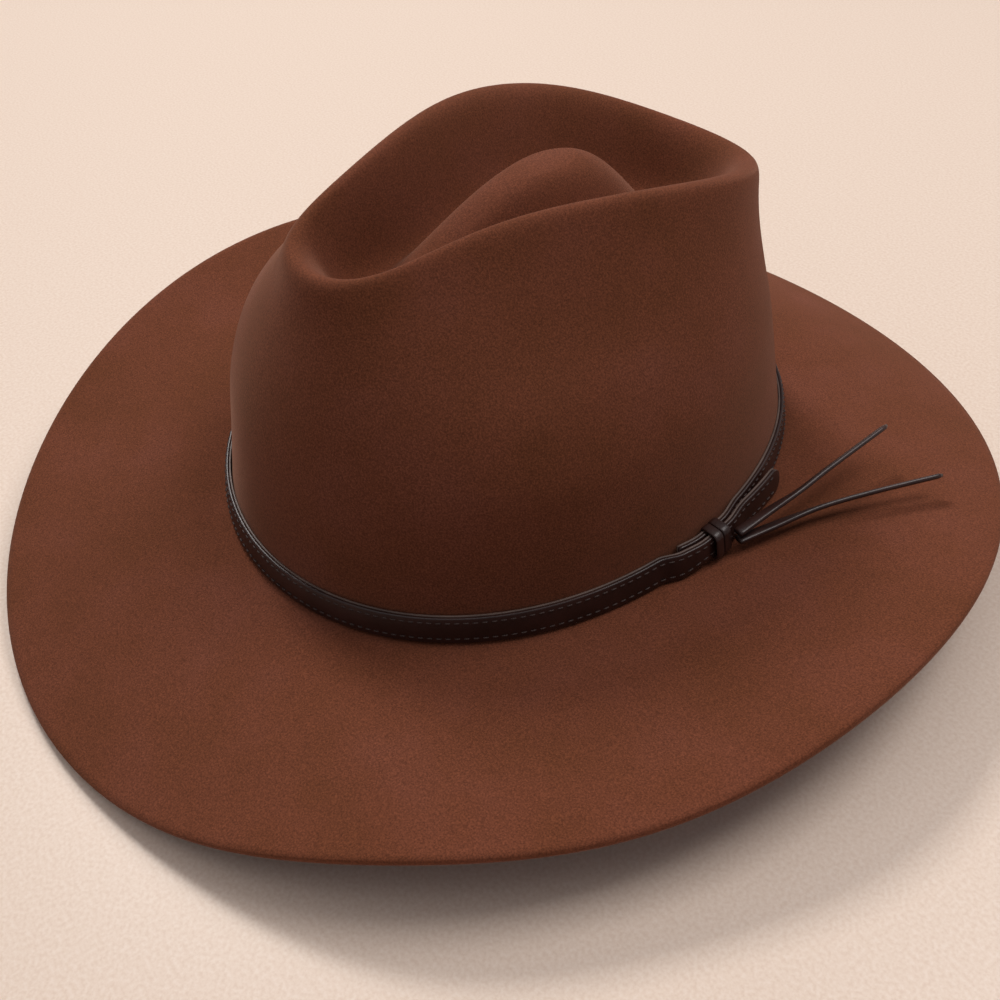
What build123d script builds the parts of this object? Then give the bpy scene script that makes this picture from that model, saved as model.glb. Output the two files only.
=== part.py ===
from build123d import *
import os
from math import cos, exp, pi, radians, sin, sqrt

# Cowboy hat: a creased fur-felt body with its sweatband, satin liner and a tied leather hatband.
# Millimetres. The wearer faces -Y, the wearer's left is +X, and the brim rests on z = 0.
# Angles run round the hat in degrees from the front, by way of the wearer's left.

# Felt body: one piece of felt, brim and crown
FELT = 2.5
BRIM_HALF_LENGTH = 179.2
BRIM_HALF_WIDTH = 165.9
BRIM_SIDE_CURL = 16.2
BRIM_FRONT_LIFT = 0.5
BRIM_EDGE_FLATTEN = 1.0
BRIM_DISH = 2.0
BRIM_WAVE_RISE = 10.6
BRIM_WAVE_FALL = 7.1
BRIM_WAVE_SPREAD = 22
BRIM_WAVE_ANGLES = (45.4, 65.7)

CROWN_SET_BACK = 6.5
BASE_HALF_LENGTH = 104.2
BASE_HALF_WIDTH = 89.3
BASE_EGG = 0.1
BASE_HEIGHT = 22.1
BASE_SADDLE = 3.2
WALL_LEAN = 0.17

CREST_FRONT = 74.9
CREST_BACK = 93.4
CREST_HALF_WIDTH = 48.5
CREST_HEIGHT = 98.5
CREST_SIDE_RISE = 8.9
CREST_FRONT_RISE = 6.3
CREST_ROLL = 7
CREASE_DEPTH = 27
CREST_DENT = 3.5
CREST_DENT_ANGLE = 68
CREST_DENT_SPREAD = 26
MOUND_HEIGHT = 122
MOUND_HALF_LENGTH = 12
MOUND_HALF_WIDTH = 6
MOUND_SET_BACK = 15

# Sweatband, its reed and the satin liner
SWEATBAND_HEIGHT = 42
SWEATBAND = 1.0
LINER = 0.4
LINER_TUCK = 14
LINER_TIP_GAP = 4
LINER_SHOULDER_RISE = 8
LINER_SHOULDER_LEAN = 3.5
TIP_SHARE = 0.74
REED_RADIUS = 1.0
REED_HEIGHT = 0.5
WELT_TAPE = 0.4
WELT_FLANGE = 7
THREAD_RADIUS = 0.3
BOW_LOOP = 11
BOW_RIBBON = 5
BOW_DEPTH = 3
BOW_KNOT_WIDTH = 4
BOW_SEAT = 1.0
PIPING_RADIUS = 0.8
SIZE_LABEL_ANGLE = 155
SIZE_LABEL_WIDTH = 24
SIZE_LABEL_HEIGHT = 14

# Hatband: a two-ply strap whose end overlaps its start under a wrapped thong
STRAP_WIDTH = 9
STRAP_FOOT = 0.6
STRAP_FACE = 1.0
STRAP_LINING = 0.7
STITCH_INSET = 1.6
KNOT_ANGLE = 94.5
KNOT_SQUEEZE = 1.8
TONGUE_LENGTH = 36
TONGUE_STAND_OFF = 2.2
WRAP_THICKNESS = 1.1
WRAP_WIDTH = 3.2
WRAP_LOOPS = 2
TAIL_WIDTH = 3.8
TAIL_THICKNESS = 1.8
TAIL_ROOT_HEIGHTS = {"tail_upper": 7.6, "tail_lower": 4.6}
# Each tail's route from its root: outward, back, up, and how far its flat side has turned
TAIL_ROUTES = {
    "tail_upper": [(0, 14, 1.0, 20), (0.2, 28, 1.8, 45), (-0.6, 42, 2.6, 50), (-2.2, 73, 3.6, 50)],
    "tail_lower": [(2.4, 12, 0.2, 15), (6.2, 30, 0.4, 45), (12.4, 49, 0.4, 50), (21.6, 73, 0.4, 50)],
}

# Clearances
SOFT_GAP = 0.3
PLY_GAP = 0.1

# How finely curves round the hat are laid out: points on a closed ring, degrees on an open one
TURN_POINTS = 60
OPEN_STEP = 2


def lerp(p, q, t):
    return tuple(a + (b - a) * t for a, b in zip(p, q))


def ease(t):
    t = min(max(t, 0.0), 1.0)
    return t * t * (3 - 2 * t)


# ---------------------------------------------------------------- felt surface

def brim_edge(deg):
    a = radians(deg)
    near_left = (deg + 180) % 360 - 180
    rise, fall = (exp(-(((near_left - w) / BRIM_WAVE_SPREAD) ** 2)) for w in BRIM_WAVE_ANGLES)
    z = FELT + BRIM_SIDE_CURL * (1 - cos(2 * a)) - BRIM_EDGE_FLATTEN * (1 - cos(4 * a))
    z += BRIM_FRONT_LIFT * (1 + cos(a)) + BRIM_WAVE_RISE * rise - BRIM_WAVE_FALL * fall
    return (BRIM_HALF_WIDTH * sin(a), -BRIM_HALF_LENGTH * cos(a), z)


def wall_normal(deg):
    a = radians(deg)
    nx = sin(a) / BASE_HALF_WIDTH
    ny = -cos(a) / BASE_HALF_LENGTH
    return (nx / sqrt(nx * nx + ny * ny), ny / sqrt(nx * nx + ny * ny))


def wall_point(deg, outset, height):
    """A point beside the crown wall: outset from the felt, height above the brim break."""
    a = radians(deg)
    nx, ny = wall_normal(deg)
    out = outset - WALL_LEAN * height
    x = BASE_HALF_WIDTH * sin(a) * (1 + BASE_EGG * cos(a)) + nx * out
    y = CROWN_SET_BACK - BASE_HALF_LENGTH * cos(a) + ny * out
    return (x, y, BASE_HEIGHT - BASE_SADDLE * cos(2 * a) + height)


def crest(deg):
    """The rolled rim round the crease: narrow in front, widest in the back third."""
    a = radians(deg)
    middle = (CREST_BACK - CREST_FRONT) / 2
    reach = (CREST_BACK + CREST_FRONT) / 2
    x = CREST_HALF_WIDTH * (0.926 * sin(a) - 0.208 * sin(2 * a) + 0.077 * sin(3 * a) + 0.041 * sin(4 * a))
    y = CROWN_SET_BACK + middle - reach * (0.981 * cos(a) + 0.019 * cos(3 * a)) + 6.6 * (cos(2 * a) - 1)
    z = BASE_HEIGHT + CREST_HEIGHT + CREST_FRONT_RISE * cos(a) ** 3 - CREST_SIDE_RISE * cos(2 * a)
    return (x, y, z)


def felt_rings(deg):
    """Control points of the felt's top skin along one line, from brim edge to mound."""
    a = radians(deg)
    edge = brim_edge(deg)
    near = wall_point(deg, 16, 0.2)
    side = (1 - cos(2 * a)) / 2
    rim = crest(deg)
    tall = rim[2] - wall_point(deg, 0, 0)[2]
    middle = (0, CROWN_SET_BACK + MOUND_SET_BACK - 3 * MOUND_HALF_LENGTH * cos(a), rim[2])
    inner = lerp(rim, middle, 0.42 - 0.1 * cos(a))
    top = (MOUND_HALF_WIDTH * sin(a),
           CROWN_SET_BACK + MOUND_SET_BACK - MOUND_HALF_LENGTH * cos(a), MOUND_HEIGHT)
    floor = (inner[0], inner[1], rim[2] - CREASE_DEPTH + 6 * abs(cos(a)) ** 3)
    points = [edge]
    for share in (0.2, 0.5, 0.8):
        x, y, z = lerp(edge, near, share)
        points.append((x, y, z + BRIM_DISH * (1 - 2 * side) * sin(pi * share)))
    points += [near, wall_point(deg, 8, 0), wall_point(deg, 3, -0.3), wall_point(deg, -0.4, -0.6)]
    points += [wall_point(deg, 0, h) for h in (3.5, 12, 26, SWEATBAND_HEIGHT - 2, SWEATBAND_HEIGHT + 6)]
    near_left = (deg + 180) % 360 - 180
    dent = CREST_DENT * exp(-(((near_left - CREST_DENT_ANGLE) / CREST_DENT_SPREAD) ** 2))
    for share, pull, sink in ((0.61, 0.1, 0.35), (0.71, 0.25, 0.85), (0.82, 0.5, 1), (0.93, 0.83, 0.15)):
        x, y, z = wall_point(deg, -sink * dent, tall * share)
        points.append(lerp((x, y, z), (rim[0], rim[1], z), pull))
    inward = lerp(rim, inner, 0.3)
    points.append((rim[0], rim[1], rim[2] + 0.28 * CREST_ROLL))
    points.append((inward[0], inward[1], rim[2] + 0.2 * CREST_ROLL))
    for share, drop in ((0.62, 0.36), (0.88, 0.8)):
        x, y, z = lerp(rim, inner, share)
        points.append((x, y, rim[2] + (floor[2] - rim[2]) * drop))
    points.append(lerp(floor, (top[0], top[1], floor[2]), 0.16))
    for share, climb in ((0.4, 0.36), (0.66, 0.74), (0.86, 0.94)):
        x, y, z = lerp(floor, top, share)
        points.append((x, y, floor[2] + (top[2] - floor[2]) * climb))
    points.append(top)
    return points


def felt_point(deg, level):
    """The top skin at a level: a uniform cubic B-spline through the control points."""
    points = felt_rings(deg)
    last = len(points) - 1
    span = min(int(level), last - 1)
    t = level - span
    before = points[span - 1] if span else lerp(points[1], points[0], 2)
    after = points[span + 2] if span + 2 <= last else lerp(points[last - 1], points[last], 2)
    weights = ((1 - t) ** 3, 3 * t ** 3 - 6 * t * t + 4, -3 * t ** 3 + 3 * t * t + 3 * t + 1, t ** 3)
    four = (before, points[span], points[span + 1], after)
    return tuple(sum(w * p[k] for w, p in zip(weights, four)) / 6 for k in range(3))


def felt_inner(deg, level, depth):
    """The point under the top skin, at a depth along its normal."""
    top_level = len(felt_rings(0)) - 1
    low = max(level - 0.02, 0)
    high = min(level + 0.02, top_level)
    round_it = Vector(*felt_point(deg + 0.5, level)) - Vector(*felt_point(deg - 0.5, level))
    climb = Vector(*felt_point(deg, high)) - Vector(*felt_point(deg, low))
    down = climb.cross(round_it).normalized()
    spot = Vector(*felt_point(deg, level)) + down * depth
    return (spot.X, spot.Y, spot.Z)


# ---------------------------------------------------------------- solids from rings

def turn(points_at, start=0, stop=360):
    """A curve of points_at(angle): a closed ring for a whole turn, else an open line."""
    whole = stop - start == 360
    count = TURN_POINTS if whole else max(4, round((stop - start) / OPEN_STEP))
    steps = count if whole else count + 1
    points = [points_at(start + (stop - start) * k / count) for k in range(steps)]
    return Edge.make_spline([Vector(*p) for p in points], periodic=whole)


def band(corners, start=0, stop=360):
    """A closed solid whose section's corners each follow a curve round the hat."""
    curves = [turn(corner, start, stop) for corner in corners]
    faces = [Face.make_surface_from_curves(p, q) for p, q in zip(curves, curves[1:] + curves[:1])]
    if stop - start != 360:
        faces += [Face(Wire.make_polygon([c @ end for c in curves], close=True)) for end in (0, 1)]
    return Solid(Shell(faces))


def wall_band(section, start=0, stop=360):
    """A band against the crown wall: section(angle) lists its corners as (outset, height)."""
    def corner(k):
        return lambda deg: wall_point(deg, *section(deg)[k])
    return band([corner(k) for k in range(len(section(start)))], start, stop)


def cord_section(outset, height, radius, sides=8):
    turns = [2 * pi * k / sides for k in range(sides)]
    return [(outset + radius * cos(t), height + radius * sin(t)) for t in turns]


def skin(outer, inner, capped=False, ruled=False):
    """A thin shell between two stacks of rings, joined by an edge strip and, if capped, by lids."""
    faces = Shell.make_loft(outer, ruled).faces() + Shell.make_loft(inner, ruled).faces()
    faces += Shell.make_loft([outer[0], inner[0]], ruled=True).faces()
    if capped:
        faces += [Face(outer[-1]), Face(inner[-1])]
    else:
        faces += Shell.make_loft([outer[-1], inner[-1]], ruled=True).faces()
    return Solid(Shell(faces))


def ring(points_at):
    return Wire([turn(points_at)])


# ---------------------------------------------------------------- felt body

TOP_LEVEL = len(felt_rings(0)) - 1
BREAK_LEVELS = range(4, 9)
CREST_LEVELS = range(15, TOP_LEVEL)
# A ring for each control point, and two where the felt bends at the brim break and the crest.
LEVELS = sorted(list(range(TOP_LEVEL + 1)) + [k + 0.5 for k in [*BREAK_LEVELS, *CREST_LEVELS]])


def felt_body():
    outer = [ring(lambda deg, v=v: felt_point(deg, v)) for v in LEVELS]
    inner = [ring(lambda deg, v=v: felt_inner(deg, v, FELT)) for v in LEVELS[:-1]]
    inner.append(outer[-1].moved(Location((0, 0, -FELT))))
    return skin(outer, inner, capped=True, ruled=True)


# ---------------------------------------------------------------- inside the crown

# Outsets count inward from the felt's outside as negative numbers.
LINER_OUT = -(FELT + SOFT_GAP)
LINER_IN = LINER_OUT - LINER
SWEATBAND_OUT = LINER_IN - SOFT_GAP
SWEATBAND_IN = SWEATBAND_OUT - SWEATBAND
TAPE_RADIUS = REED_RADIUS + PLY_GAP + WELT_TAPE
REED_OUTSET = LINER_OUT - TAPE_RADIUS
SWEATBAND_FOOT = REED_HEIGHT + TAPE_RADIUS + PLY_GAP
LINER_FOOT = SWEATBAND_HEIGHT - LINER_TUCK
CREASE_FLOOR = min(felt_inner(deg, v, FELT)[2] for deg in range(0, 360, 15) for v in CREST_LEVELS[4:8])
TIP_HEIGHT = CREASE_FLOOR - LINER_TIP_GAP


def sweatband():
    section = [(SWEATBAND_OUT, SWEATBAND_FOOT), (SWEATBAND_IN, SWEATBAND_FOOT),
               (SWEATBAND_IN, SWEATBAND_HEIGHT), (SWEATBAND_OUT, SWEATBAND_HEIGHT)]
    return wall_band(lambda deg: section)


def sweatband_seam_thread():
    """The butted ends at the back are joined by a zigzag, here one flat line of thread."""
    inside = SWEATBAND_IN - PLY_GAP
    section = [(inside, SWEATBAND_FOOT + 3), (inside - THREAD_RADIUS, SWEATBAND_FOOT + 3),
               (inside - THREAD_RADIUS, SWEATBAND_HEIGHT - 1), (inside, SWEATBAND_HEIGHT - 1)]
    return wall_band(lambda deg: section, 179, 181)


def sweatband_reed():
    section = cord_section(REED_OUTSET, REED_HEIGHT, REED_RADIUS)
    return wall_band(lambda deg: section)


def welt_tape():
    """Tape folded round the reed, its flange standing between the sweatband and the felt."""
    inner = REED_RADIUS + PLY_GAP
    flange_in = SWEATBAND_OUT + PLY_GAP
    flange_out = flange_in + WELT_TAPE
    top = SWEATBAND_FOOT + WELT_FLANGE
    around = [radians(t) for t in range(45, -256, -30)]
    outside = [(REED_OUTSET + TAPE_RADIUS * cos(t), REED_HEIGHT + TAPE_RADIUS * sin(t)) for t in around]
    inside = [(REED_OUTSET + inner * cos(t), REED_HEIGHT + inner * sin(t)) for t in around]
    section = [(flange_in, top), (flange_out, top)] + outside + inside[::-1]
    section.append((flange_in, SWEATBAND_FOOT - PLY_GAP))
    return wall_band(lambda deg: section)


def welt_stitching():
    """The thread that holds the sweatband's foot to its tape, on the wearer's side."""
    section = cord_section(SWEATBAND_IN - THREAD_RADIUS - PLY_GAP, SWEATBAND_FOOT + 2, THREAD_RADIUS)
    return wall_band(lambda deg: section)


def bow_frame():
    """At the back of the sweatband: X runs round the hat, Y up, Z towards the head."""
    height = (SWEATBAND_FOOT + SWEATBAND_HEIGHT) / 2
    spot = wall_point(180, SWEATBAND_IN - THREAD_RADIUS - 2 * PLY_GAP - SOFT_GAP, height)
    return Plane(Vector(*spot), x_dir=(1, 0, 0), z_dir=(0, -1, -WALL_LEAN))


def sweatband_bow():
    frame = bow_frame()
    loop = Ellipse(BOW_LOOP / 2, BOW_DEPTH / 2) - Ellipse(BOW_LOOP / 2 - LINER, BOW_DEPTH / 2 - LINER)
    loop = extrude(Plane.XZ * loop, BOW_RIBBON / 2, both=True)
    reach = BOW_KNOT_WIDTH / 2 + PLY_GAP + BOW_LOOP / 2
    return Compound([frame * Pos(side * reach, 0, BOW_SEAT + BOW_DEPTH / 2) * loop for side in (-1, 1)])


def sweatband_bow_knot():
    size = (BOW_KNOT_WIDTH, BOW_RIBBON + 1, BOW_SEAT + BOW_DEPTH)
    knot = fillet(Box(*size).edges(), 0.8)
    return bow_frame() * Pos(0, 0, size[2] / 2) * knot


def size_label():
    half = 90 * SIZE_LABEL_WIDTH / (pi * BASE_HALF_LENGTH)
    inside = SWEATBAND_IN - PLY_GAP
    foot = SWEATBAND_FOOT + WELT_FLANGE + 2
    section = [(inside, foot), (inside - LINER, foot),
               (inside - LINER, foot + SIZE_LABEL_HEIGHT), (inside, foot + SIZE_LABEL_HEIGHT)]
    return wall_band(lambda deg: section, SIZE_LABEL_ANGLE - half, SIZE_LABEL_ANGLE + half)


def tip_oval(deg, inset, height):
    x, y, z = wall_point(deg, LINER_OUT, 0)
    share = TIP_SHARE - inset / BASE_HALF_WIDTH
    return (x * share, CROWN_SET_BACK + (y - CROWN_SET_BACK) * share, height)


def liner_rings(outset, inset):
    """Against the wall as far as the sweatband's top, then leaning in to the tip."""
    shoulder = SWEATBAND_HEIGHT + LINER_SHOULDER_RISE
    steps = ((LINER_FOOT, 0), (SWEATBAND_HEIGHT, 0), (shoulder, LINER_SHOULDER_LEAN))
    rings = [ring(lambda deg, h=h, lean=lean: wall_point(deg, outset - lean, h)) for h, lean in steps]
    return rings + [ring(lambda deg: tip_oval(deg, inset, TIP_HEIGHT))]


def liner_side():
    return skin(liner_rings(LINER_OUT, 0), liner_rings(LINER_IN, LINER), ruled=True)


def liner_tip():
    face = Face(ring(lambda deg: tip_oval(deg, 0, TIP_HEIGHT + PLY_GAP)))
    return extrude(face, LINER, dir=(0, 0, 1))


def liner_piping():
    """A covered cord along the seam between the liner's side and its tip."""
    def corner(t):
        inset = PIPING_RADIUS + SOFT_GAP + LINER + PIPING_RADIUS * cos(t)
        drop = PIPING_RADIUS + PLY_GAP + PIPING_RADIUS * sin(t)
        return lambda deg: tip_oval(deg, inset, TIP_HEIGHT - drop)
    return band([corner(2 * pi * k / 8) for k in range(8)])


# ---------------------------------------------------------------- hatband

PLY = STRAP_LINING + PLY_GAP + STRAP_FACE
THREAD_ROOM = 2 * THREAD_RADIUS + 2 * PLY_GAP
DEGREES_PER_MM = 360 / (pi * (BASE_HALF_LENGTH + BASE_HALF_WIDTH))
WRAP_REACH = WRAP_LOOPS * (WRAP_WIDTH + PLY_GAP) / 2
STRAP_START = KNOT_ANGLE - (WRAP_REACH + 10) * DEGREES_PER_MM
STRAP_END = 360 + KNOT_ANGLE + TONGUE_LENGTH * DEGREES_PER_MM


def near_knot(deg):
    away = abs((deg - KNOT_ANGLE + 180) % 360 - 180) / DEGREES_PER_MM
    return ease((WRAP_REACH + 12 - away) / 10)


def strap_inner(deg):
    """How far the strap's inner face stands off the felt: it climbs over its start at the knot."""
    start = 360 + STRAP_START
    over = ease((deg - start) / (8 * DEGREES_PER_MM) + 1)
    loose = ease((deg - 360 - KNOT_ANGLE) / (TONGUE_LENGTH * DEGREES_PER_MM) - 0.2)
    room = (WRAP_THICKNESS + 2 * PLY_GAP) * near_knot(deg)
    return SOFT_GAP + room + (PLY + THREAD_ROOM) * over + TONGUE_STAND_OFF * loose


def strap_foot(deg):
    return STRAP_FOOT + KNOT_SQUEEZE * near_knot(deg)


def strap_section(near, far):
    def section(deg):
        inner = strap_inner(deg)
        foot = strap_foot(deg)
        top = STRAP_FOOT + STRAP_WIDTH
        return [(inner + near, foot), (inner + far, foot), (inner + far, top), (inner + near, top)]
    return wall_band(section, STRAP_START, STRAP_END)


def hatband_strap():
    return strap_section(STRAP_LINING + PLY_GAP, PLY)


def hatband_lining():
    return strap_section(0, STRAP_LINING)


def stitch_line(height_at):
    def section(deg):
        outset = strap_inner(deg) + PLY + PLY_GAP + THREAD_RADIUS
        return cord_section(outset, height_at(deg), THREAD_RADIUS)
    margin = 2 * DEGREES_PER_MM
    return wall_band(section, STRAP_START + margin, STRAP_END - margin)


def hatband_upper_stitching():
    return stitch_line(lambda deg: STRAP_FOOT + STRAP_WIDTH - STITCH_INSET)


def hatband_lower_stitching():
    return stitch_line(lambda deg: strap_foot(deg) + STITCH_INSET)


def knot_frame(along, height=0, outset=0):
    """Beside the knot, along the strap: X level and away from the wall, Y up."""
    spot = wall_point(KNOT_ANGLE + along * DEGREES_PER_MM, outset, height)
    nx, ny = wall_normal(KNOT_ANGLE)
    return Plane(Vector(*spot), x_dir=(nx, ny, 0), z_dir=(ny, -nx, 0))


def knot_wrap():
    """Loops of thong that squeeze the strap's two ends together."""
    inner = strap_inner(KNOT_ANGLE) - 2 * PLY_GAP
    outer = strap_inner(360 + KNOT_ANGLE) + PLY + THREAD_ROOM
    foot = strap_foot(KNOT_ANGLE) - PLY_GAP
    top = STRAP_FOOT + STRAP_WIDTH + PLY_GAP
    corners = [(inner, foot), (outer, foot), (outer, top), (inner, top)]
    hole = Polygon(*[(out - WALL_LEAN * height, height) for out, height in corners], align=None)
    loop = offset(hole, WRAP_THICKNESS, kind=Kind.INTERSECTION) - hole
    loop = extrude(loop, WRAP_WIDTH / 2, both=True)
    pitch = WRAP_WIDTH + PLY_GAP
    starts = [(k - (WRAP_LOOPS - 1) / 2) * pitch for k in range(WRAP_LOOPS)]
    return Compound([knot_frame(start) * loop for start in starts])


def tail_root(name):
    """The root of a tail, just behind the wrap and clear of the tongue: half its width to swing in."""
    along = WRAP_REACH + SOFT_GAP + TAIL_WIDTH / 3
    at = 360 + KNOT_ANGLE + along * DEGREES_PER_MM
    outset = strap_inner(at) + PLY + THREAD_ROOM + SOFT_GAP + TAIL_WIDTH / 2
    return knot_frame(along, TAIL_ROOT_HEIGHTS[name], outset).origin


def tail(name):
    """A flat thong: it leaves the knot level, then turns on edge as it spreads."""
    root = tail_root(name)
    route = [(0, 0, 0, 0)] + TAIL_ROUTES[name]
    spots = [root + Vector(*step[:3]) for step in route]
    sections = []
    for k, step in enumerate(route):
        run = spots[min(k + 1, len(spots) - 1)] - spots[max(k - 1, 0)]
        level = Vector(run.Y, -run.X, 0).normalized()
        side = level.rotate(Axis((0, 0, 0), (run.X, run.Y, run.Z)), -step[3])
        sections.append(Plane(spots[k], x_dir=side, z_dir=run) * Rectangle(TAIL_WIDTH, TAIL_THICKNESS))
    return loft(sections)


# ---------------------------------------------------------------- the files

NODES = {
    "felt_body": felt_body,
    "sweatband": sweatband,
    "sweatband_seam_thread": sweatband_seam_thread,
    "sweatband_reed": sweatband_reed,
    "welt_tape": welt_tape,
    "welt_stitching": welt_stitching,
    "sweatband_bow": sweatband_bow,
    "sweatband_bow_knot": sweatband_bow_knot,
    "size_label": size_label,
    "liner_side": liner_side,
    "liner_tip": liner_tip,
    "liner_piping": liner_piping,
    "hatband_strap": hatband_strap,
    "hatband_lining": hatband_lining,
    "hatband_upper_stitching": hatband_upper_stitching,
    "hatband_lower_stitching": hatband_lower_stitching,
    "knot_wrap": knot_wrap,
    "tail_upper": lambda: tail("tail_upper"),
    "tail_lower": lambda: tail("tail_lower"),
}

os.makedirs("parts", exist_ok=True)
for node, make in NODES.items():
    solid = make()
    export_step(solid, f"parts/{node}.step")
    print(node, len(solid.solids()), "solid(s)", round(solid.volume), "mm3")
for node in TAIL_ROUTES:
    print(node, "hinge at", tail_root(node))
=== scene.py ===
# %% [markdown]
# A creased fur-felt hat with a tied leather hatband.
# The construction model gives the frame: the place and size of every piece. This file gives the
# looks. Each piece is a grid of points worked out by a formula, because felt, leather and satin
# are all sheets that run round one oval, and a grid keeps their edges and folds smooth.

# %% Load the frame
from math import cos, pi, radians, sin

import bmesh
import bpy
import numpy as np
from mathutils import Matrix, Vector


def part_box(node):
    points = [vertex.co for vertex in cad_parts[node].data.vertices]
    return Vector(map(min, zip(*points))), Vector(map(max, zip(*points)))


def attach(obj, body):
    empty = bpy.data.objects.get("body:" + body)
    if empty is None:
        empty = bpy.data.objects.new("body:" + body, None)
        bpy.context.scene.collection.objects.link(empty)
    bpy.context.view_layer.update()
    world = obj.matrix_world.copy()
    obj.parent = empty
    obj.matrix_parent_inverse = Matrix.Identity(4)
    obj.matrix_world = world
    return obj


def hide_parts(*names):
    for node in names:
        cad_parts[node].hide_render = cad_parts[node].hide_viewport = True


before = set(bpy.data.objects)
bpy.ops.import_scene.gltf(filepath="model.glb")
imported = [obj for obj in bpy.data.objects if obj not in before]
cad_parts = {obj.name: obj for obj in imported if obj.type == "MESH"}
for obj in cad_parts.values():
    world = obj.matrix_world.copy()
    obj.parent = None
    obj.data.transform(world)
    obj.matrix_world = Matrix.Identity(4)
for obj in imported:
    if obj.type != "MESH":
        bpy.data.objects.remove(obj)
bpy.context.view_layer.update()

MM = 0.001

# %% [markdown]
# The camera stands in front of the hat's left side and looks down on it. Blender's camera looks
# along its own -Z, so its rotation is written from three directions: right, up and back.

# %% Camera
VIEW_AZIMUTH = radians(54.7)
VIEW_HEIGHT = radians(42.6)
VIEW_ROLL = radians(-3.2)
VIEW_DISTANCE = 0.4369
VIEW_TARGET = Vector((0.0081, -0.0083, 0.0025))
back = Vector((sin(VIEW_AZIMUTH) * cos(VIEW_HEIGHT), -cos(VIEW_AZIMUTH) * cos(VIEW_HEIGHT),
               sin(VIEW_HEIGHT)))
level = Vector((0, 0, 1)).cross(back).normalized()
upright = back.cross(level)
right = level * cos(VIEW_ROLL) + upright * sin(VIEW_ROLL)
up = upright * cos(VIEW_ROLL) - level * sin(VIEW_ROLL)
camera = bpy.data.objects.new("camera", bpy.data.cameras.new("camera"))
bpy.context.scene.collection.objects.link(camera)
turned = Matrix((right, up, back)).transposed().to_4x4()
camera.matrix_world = Matrix.Translation(VIEW_TARGET + back * VIEW_DISTANCE) @ turned
camera.data.lens = 43.2
camera.data.clip_start = 0.01
bpy.context.scene.camera = camera
bpy.context.scene.view_settings.view_transform = "Standard"
print("camera at", [round(c, 3) for c in camera.matrix_world.translation])

# %% [markdown]
# Every material below is a small tree of nodes. One helper adds a node with its settings and
# links, and one turns a colour as a painter writes it, in hex, into the linear numbers that
# Blender calculates with.

# %% Helpers for materials


def linear(hex_colour):
    """A hex sRGB colour as the linear red, green, blue and alpha that sockets take."""
    parts = [int(hex_colour[k:k + 2], 16) / 255 for k in (1, 3, 5)]
    return [c / 12.92 if c <= 0.04045 else ((c + 0.055) / 1.055) ** 2.4 for c in parts] + [1.0]


def new_material(name):
    material = bpy.data.materials.new(name)
    material.use_nodes = True
    material.node_tree.nodes.clear()
    return material


def add(material, kind, links=None, **settings):
    """Adds a node; settings are its properties or sockets, links are socket: (node, output)."""
    node = material.node_tree.nodes.new("ShaderNode" + kind)
    for key, value in settings.items():
        socket = node.inputs.get(key.replace("_", " ")) if not hasattr(node, key) else None
        if socket is not None:
            socket.default_value = value
        else:
            setattr(node, key, value)
    for key, (source, output) in (links or {}).items():
        material.node_tree.links.new(source.outputs[output], node.inputs[key])
    return node


def ramp(material, source, output, stops):
    """A colour ramp from (position, hex colour) stops."""
    node = add(material, "ValToRGB", {"Fac": (source, output)})
    elements = node.color_ramp.elements
    while len(elements) < len(stops):
        elements.new(0.5)
    for element, (position, colour) in zip(elements, stops):
        element.position = position
        element.color = linear(colour)
    return node


def finish_material(material, colour, bump=None, **surface):
    """The last nodes: a Principled shader with its colour and bump, and the output."""
    links = {"Base Color": (colour, "Color")}
    if bump:
        links["Normal"] = (bump, "Normal")
    shader = add(material, "BsdfPrincipled", links)
    for socket, value in surface.items():
        shader.inputs[socket.replace("_", " ")].default_value = value
    add(material, "OutputMaterial", {"Surface": (shader, "BSDF")})
    return material


def position_in_piece(material):
    """The point's place in metres, so that patterns keep their real size on every piece."""
    return add(material, "TexCoord")


print("mid brown in linear numbers", [round(c, 3) for c in linear("#7B4731")[:3]])

# %% [markdown]
# Fur felt is matted fur, pressed and brushed. Its colour is even from afar, but close up it is
# faintly mottled where the nap lies in different ways, and the fibre tips catch light at a glancing
# angle. That pale bloom is what the Sheen sockets are for. The fibres are about 0.02 mm thick,
# far too fine to show, so the nap is drawn as flecks of about half a millimetre.

# %% Brushed fur felt
NAP_SIZE = 0.55 * MM
NAP_PATCH = 34 * MM


def brushed_fur_felt():
    felt = new_material("brushed_fur_felt")
    where = position_in_piece(felt)
    patches = add(felt, "TexNoise", {"Vector": (where, "Object")},
                  Scale=1 / NAP_PATCH, Detail=3.0, Roughness=0.55)
    flecks = add(felt, "TexNoise", {"Vector": (where, "Object")},
                 Scale=1 / NAP_SIZE, Detail=3.0, Roughness=0.7)
    tone = ramp(felt, patches, "Fac", [(0.3, "#74432B"), (0.5, "#7B4731"), (0.72, "#804B38")])
    grain = ramp(felt, flecks, "Fac", [(0.32, "#96908C"), (0.5, "#CDC7C3"), (0.68, "#FFFAF6")])
    colour = add(felt, "MixRGB", {"Color1": (tone, "Color"), "Color2": (grain, "Color")},
                 blend_type="MULTIPLY", Fac=0.8)
    nap = add(felt, "Bump", {"Height": (flecks, "Fac")}, Strength=0.35, Distance=0.25 * MM)
    return finish_material(felt, colour, nap, Roughness=0.95, Specular_IOR_Level=0.15,
                           Sheen_Weight=0.36, Sheen_Roughness=0.4, Sheen_Tint=linear("#C79A84"))


print("nap flecks of", NAP_SIZE / MM, "mm in patches of", NAP_PATCH / MM, "mm")

# %% [markdown]
# The strap is vegetable-tanned leather, dyed nearly black and waxed. Its grain is a net of fine
# pores, and its wax gives soft, broad highlights, so the roughness sits near the middle.

# %% Leathers and small trim
PORE_SIZE = 0.5 * MM


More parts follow.
